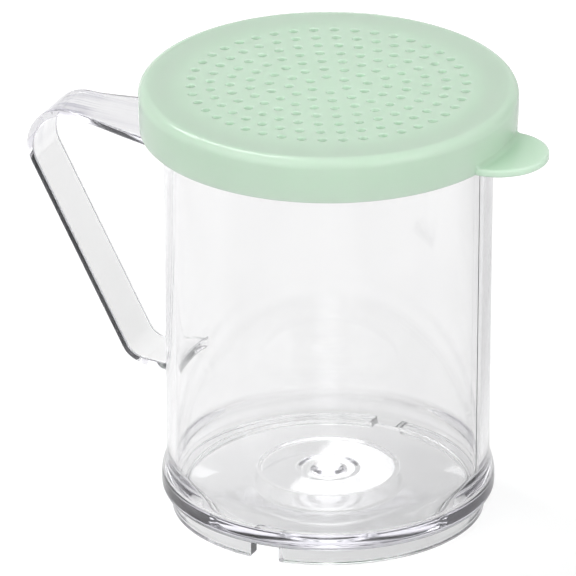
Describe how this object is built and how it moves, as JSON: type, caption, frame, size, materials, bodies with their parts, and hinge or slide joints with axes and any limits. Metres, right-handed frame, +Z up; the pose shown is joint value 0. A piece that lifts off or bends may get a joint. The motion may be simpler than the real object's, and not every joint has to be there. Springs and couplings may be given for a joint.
{
  "type": "handled spice shaker",
  "caption": "Clear moulded shaker cup with a strap handle and a soft press-on lid that is perforated for shaking out spices and lifts off by a rounded tab.",
  "frame": {"origin": "centre of the cup's foot, on the surface that the cup stands on", "axes": "+Z up along the cup's axis, +X from the handle towards the lid's lift tab, +Y across the handle"},
  "size_m": [0.1201, 0.0826, 0.099],
  "materials": {
    "clear": "clear gloss",
    "lid": "satin"
  },
  "bodies": {
    "cup": {"cup_body": "clear", "cup_handle": "clear"},
    "lid": {"snap_lid": "lid"}
  },
  "joints": [
    {"name": "lid_lift", "type": "slide", "parent": "cup", "child": "lid", "axis": [0, 0, 1], "range_m": [0, 0.04]}
  ]
}
